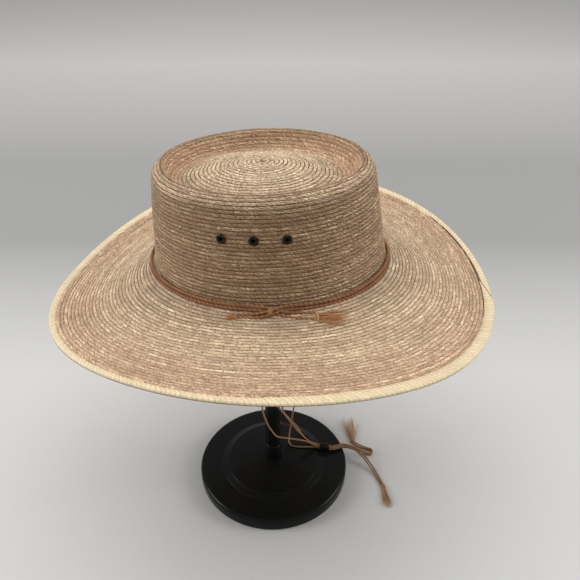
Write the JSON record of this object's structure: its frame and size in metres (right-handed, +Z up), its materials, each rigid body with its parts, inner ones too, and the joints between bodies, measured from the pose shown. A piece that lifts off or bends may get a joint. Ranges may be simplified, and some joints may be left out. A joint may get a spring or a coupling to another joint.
{
  "type": "straw ranch hat on a plain hat stand",
  "caption": "Woven straw ranch hat with a telescope crown, wide dipped brim, cord hatband, vent eyelets and chin cord with slider, held up by a plain round-footed stand.",
  "frame": {"origin": "on the surface that the stand's foot rests on, below the middle of its pole", "axes": "+Z up, -X towards the hat's front, -Y towards the wearer's left side, where the hatband's knot is"},
  "size_m": [0.3828, 0.3607, 0.3675],
  "materials": {
    "straw": "sewn rows of narrow plaited palm, mixed tan, pinkish tan and cream strands, dry and matt",
    "edge_straw": "undyed cream plaited palm, dry and matt",
    "band_cord": "twisted orange-tan cord, slightly fuzzy",
    "chin_cord": "thin tan twisted cord, slightly fuzzy",
    "anchor_tape": "plain woven tape",
    "eyelet_metal": "blackened, satin, worn at the rim",
    "slider_plastic": "moulded black",
    "stand_plastic": "moulded glossy black with light dust"
  },
  "bodies": {
    "root": {"crown": "straw", "crown_top": "straw", "brim": "straw", "edge_braid": "edge_straw", "eyelet_near_1": "eyelet_metal", "eyelet_near_2": "eyelet_metal", "eyelet_near_3": "eyelet_metal", "eyelet_far_1": "eyelet_metal", "eyelet_far_2": "eyelet_metal", "eyelet_far_3": "eyelet_metal", "hatband_cord_lower": "band_cord", "hatband_cord_upper": "band_cord", "hatband_knot": "band_cord", "hatband_tail_left_1": "band_cord", "hatband_tail_left_2": "band_cord", "hatband_tail_right_1": "band_cord", "hatband_tail_right_2": "band_cord", "hatband_tassel_right": "band_cord", "hatband_tassel_left": "band_cord", "cord_anchor_near": "anchor_tape", "cord_anchor_far": "anchor_tape", "chin_cord_near_1": "chin_cord", "chin_cord_near_2": "chin_cord", "chin_cord_far_1": "chin_cord", "chin_cord_far_2": "chin_cord", "chin_tassel_long": "chin_cord", "chin_tassel_short": "chin_cord", "chin_slider": "slider_plastic", "stand_base": "stand_plastic", "stand_collar": "stand_plastic", "stand_pole": "stand_plastic", "stand_cap": "stand_plastic"}
  },
  "joints": []
}
